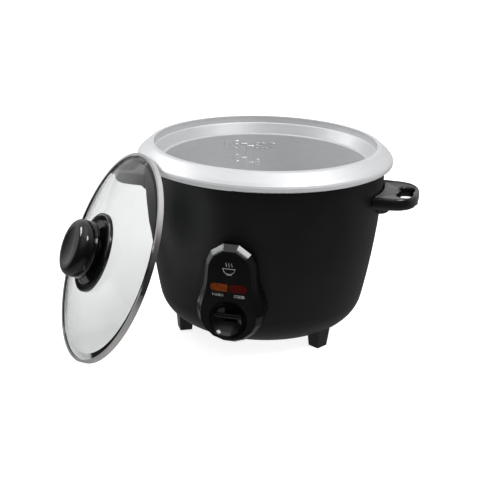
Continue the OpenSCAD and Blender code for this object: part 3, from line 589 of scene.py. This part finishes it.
def reach(centre, angle, inside):
    """Distance from the centre to where a flat shape ends, in one direction."""
    low = 0.0
    high = 60.0
    for _ in range(24):
        middle = (low + high) / 2
        if inside(centre[0] + middle * math.cos(angle), centre[1] + middle * math.sin(angle)):
            low = middle
        else:
            high = middle
    return low


def in_handle(x, y):
    if math.hypot(x, y) < SHELL_R - 0.5 or abs(y) >= HANDLE_HALF_W:
        return False
    if x < HANDLE_END_X:
        return True
    along = (x - HANDLE_END_X) / HANDLE_END_L
    across = abs(y) / HANDLE_HALF_W
    return along ** HANDLE_END_POWER + across ** HANDLE_END_POWER < 1


def in_hole(x, y):
    return any(math.hypot(x - HOLE_X + abs(c) * HOLE_LOBE_BACK, y - c) < HOLE_LOBE_R for c in HOLE_LOBES_Y)


def make_lug(bm, side, shelf_low):
    """The block under the shelf, against the wall: a quarter round from the side, with eased ends."""
    quarter = [math.pi / 24 * k for k in range(13)]
    outline = [(-3, 0.5), (9.8, 0.5)]
    outline += [(10.3 * math.cos(t), -0.4 - 10 * math.sin(t)) for t in quarter]
    outline += [(-3, -10.4)]
    rings = []
    for y, eased in ((-6.5, 0.9), (-5.6, 0), (5.6, 0), (6.5, 0.9)):
        ring = []
        for x, z in outline:
            out = SHELL_R - 1 + x - eased * (x > 0)
            ring.append((side * out, y, shelf_low + z + 0.3 + eased * (z < -0.5)))
        rings.append(ring)
    skin(bm, rings)


def make_handle(name, side):
    """A rounded shelf with a shallow dish, a finger hole of three lobes and a lug below, against the wall."""
    centre = (HOLE_X - 1, 0)
    angles = full_turn(192)
    outer = [reach(centre, a, in_handle) for a in angles]
    hole = [reach(centre, a, in_hole) for a in angles]
    # (depth in from the edge, height from the top), from the dish round the rim to the underside
    outside = [(4.4, -1.1), (3.6, -0.9), (2.9, -0.3), (2.2, -0.05), (1.5, -0.2), (0.9, -0.6), (0.4, -1.3),
               (0.1, -2.3), (0, -3.6), (0, -6.6), (0.25, -8), (0.8, -9.1), (1.7, -9.8), (2.8, -10),
               (4.4, -10)]
    # the same round the hole, from the underside up
    inside = [(2.6, -10), (1.3, -9.8), (0.4, -9.2), (0, -8.2), (0, -3), (0.3, -2.1), (0.9, -1.5),
              (1.8, -1.2), (2.6, -1.1)]
    sections = [([o - depth for o in outer], HANDLE_TOP + z) for depth, z in outside]
    sections += [([h + depth for h in hole], HANDLE_TOP + z) for depth, z in inside]
    rings = []
    for radii, z in sections:
        rings.append([(side * (centre[0] + r * math.cos(a)), centre[1] + r * math.sin(a), z)
                      for a, r in zip(angles, radii)])
    bm = bmesh.new()
    skin(bm, rings, closed=True)
    make_lug(bm, side, HANDLE_TOP - HANDLE_T)
    piece = finish_mesh(name + "_shelf", bm, HANDLE, "cooker", 50)
    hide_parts(name)


# ---------- lid ----------

def lid_matrix():
    """Places what is drawn on a lid lying flat on the leaning lid."""
    mid_z = LID_R * math.cos(LID_LEAN) + BAND_H / 2 * math.sin(LID_LEAN)
    rise = LID_REST_Z - mid_z
    glass_r = LID_R - GLASS_INSET
    dome_r = (glass_r ** 2 + DOME_H ** 2) / (2 * DOME_H)
    back = GLASS_T - DOME_H + (rise / math.cos(LID_LEAN)) ** 2 / (2 * dome_r)
    away = COLLAR_R + LEAN_GAP + rise * math.tan(LID_LEAN) + back / math.cos(LID_LEAN)
    stand = away / math.cos(LID_TURN - LID_SIDE)
    return (Matrix.Rotation(-LID_SIDE, 4, "Z") @ Matrix.Translation((0, -stand, mid_z))
            @ Matrix.Rotation(LID_SIDE - LID_TURN, 4, "Z") @ Matrix.Rotation(math.pi / 2 - LID_LEAN, 4, "X"))


def make_ribs():
    """Fine radial ribs round the top of the knob's base."""
    place = lid_matrix()
    count = 96
    steps = 6
    foot = 0.04
    rib_h = 0.42
    turn = full_turn(count * steps)
    rings = []
    for r, lift in ((25.9, -0.3), (25.9, 0), (26.4, 1), (30.4, 1), (30.9, 0), (30.9, -0.3)):
        ring = []
        for k, angle in enumerate(turn):
            wave = 0.5 - 0.5 * math.cos(2 * math.pi * (k % steps) / steps)
            z = HUB_H + (lift if lift < 0 else foot + lift * rib_h * wave)
            ring.append(place @ Vector((r * math.cos(angle), r * math.sin(angle), z)))
        rings.append(ring)
    bm = bmesh.new()
    skin(bm, rings, closed=True)
    finish_mesh("knob_base_ribs", bm, GLOSS, "lid", 30)


make_marks()
make_print()
make_panel()
make_bowl()
make_key()
make_handle("handle_right", 1)
make_handle("handle_left", -1)
make_ribs()
make_spring()


# ---------- floor, light and camera ----------

def make_floor():
    """A pale floor that gives off some light of its own and isn't seen in reflections."""
    bpy.ops.mesh.primitive_circle_add(vertices=96, radius=12, fill_type="NGON", location=(0, 0, -0.0002))
    floor = bpy.context.object
    floor.name = "floor"
    material, tree, bsdf = new_material("pale_floor")
    pale = ramp(tree, noise(tree, 3, 2), [(NOISE_LOW, (0.6, 0.6, 0.6)), (NOISE_HIGH, (0.62, 0.62, 0.62))])
    tree.links.new(pale, bsdf.inputs["Base Color"])
    tree.links.new(pale, bsdf.inputs["Emission Color"])
    bsdf.inputs["Emission Strength"].default_value = 1.35
    bsdf.inputs["Roughness"].default_value = 0.9
    bsdf.inputs["Specular IOR Level"].default_value = 0.1
    floor.data.materials.append(material)
    floor.visible_glossy = False


def away_from(azimuth, elevation):
    """The direction of a place seen from the cooker, from angles in radians; azimuth 0 is in front."""
    level = math.cos(elevation)
    return Vector((math.sin(azimuth) * level, -math.cos(azimuth) * level, math.sin(elevation)))


def area_light(name, azimuth, elevation, distance, size, power):
    """A square softbox that looks at the cooker's middle; its angles are in degrees."""
    target = Vector((0, 0, 0.09))
    back = away_from(math.radians(azimuth), math.radians(elevation))
    data = bpy.data.lights.new(name, "AREA")
    data.shape = "RECTANGLE"
    data.size = size
    data.size_y = size
    data.energy = power
    light = bpy.data.objects.new(name, data)
    scene.collection.objects.link(light)
    light.location = target + back * distance
    light.rotation_mode = "QUATERNION"
    light.rotation_quaternion = (-back).to_track_quat("-Z", "Y")


def make_world():
    """White, but reflections see it bright overhead and behind, and dim in front at the walls' height."""
    world = bpy.data.worlds.new("studio")
    scene.world = world
    world.use_nodes = True
    tree = world.node_tree
    output = tree.nodes["World Output"]
    plain = tree.nodes["Background"]
    plain.inputs["Color"].default_value = (1, 1, 1, 1)
    plain.inputs["Strength"].default_value = 1
    where = tree.nodes.new("ShaderNodeTexCoord")
    split = tree.nodes.new("ShaderNodeSeparateXYZ")
    tree.links.new(where.outputs["Generated"], split.inputs["Vector"])
    height = tree.nodes.new("ShaderNodeMapRange")
    height.inputs["From Min"].default_value = -1
    tree.links.new(split.outputs["Z"], height.inputs["Value"])
    behind = tree.nodes.new("ShaderNodeMapRange")
    behind.inputs["From Min"].default_value = -0.1
    behind.inputs["From Max"].default_value = 0.5
    tree.links.new(split.outputs["Y"], behind.inputs["Value"])
    # greys by height, from straight down at 0 to straight up at 1
    front = [(0, 0.4), (0.2, 0.28), (0.33, 0.03), (0.5, 0.03), (0.7, 0.12), (0.85, 0.55), (1, 0.85)]
    rear = [(0, 0.4), (0.33, 0.2), (0.5, 0.5), (0.6, 0.7), (0.85, 0.85), (1, 0.85)]
    join = tree.nodes.new("ShaderNodeMix")
    join.data_type = "RGBA"
    tree.links.new(behind.outputs["Result"], join.inputs["Factor"])
    for socket, greys in (("A", front), ("B", rear)):
        shades = ramp(tree, height.outputs["Result"], [(at, (grey, grey, grey)) for at, grey in greys])
        tree.links.new(shades, join.inputs[socket])
    soft = tree.nodes.new("ShaderNodeBackground")
    tree.links.new(join.outputs["Result"], soft.inputs["Color"])
    path = tree.nodes.new("ShaderNodeLightPath")
    mix = tree.nodes.new("ShaderNodeMixShader")
    tree.links.new(path.outputs["Is Glossy Ray"], mix.inputs["Fac"])
    tree.links.new(plain.outputs["Background"], mix.inputs[1])
    tree.links.new(soft.outputs["Background"], mix.inputs[2])
    tree.links.new(mix.outputs["Shader"], output.inputs["Surface"])


def make_camera():
    """A camera in front and a little to the right, above the collar, panned, tilted and rolled slightly."""
    target = Vector((0, 0, 0.08))
    distance = 0.9
    back = away_from(math.radians(13.2), math.radians(19))
    look = -away_from(math.radians(14.4749), math.radians(19.3576))
    roll = math.radians(1.4)
    turn = Matrix.Rotation(-roll, 3, look) @ look.to_track_quat("-Z", "Y").to_matrix()
    camera = bpy.data.objects.new("camera", bpy.data.cameras.new("camera"))
    scene.collection.objects.link(camera)
    camera.location = target + back * distance
    camera.rotation_mode = "QUATERNION"
    camera.rotation_quaternion = turn.to_quaternion()
    camera.data.lens = 79.65
    camera.data.sensor_width = 36
    camera.data.clip_start = 0.01
    camera.data.clip_end = 100
    scene.camera = camera


make_floor()
make_world()
make_camera()
area_light("softbox_left", -91, 34, 1.5, 0.45, 8)
area_light("softbox_right", 68, 53, 1.5, 0.45, 9)
area_light("softbox_top", 0, 88, 1.8, 1.6, 4)
scene.view_settings.view_transform = "Standard"
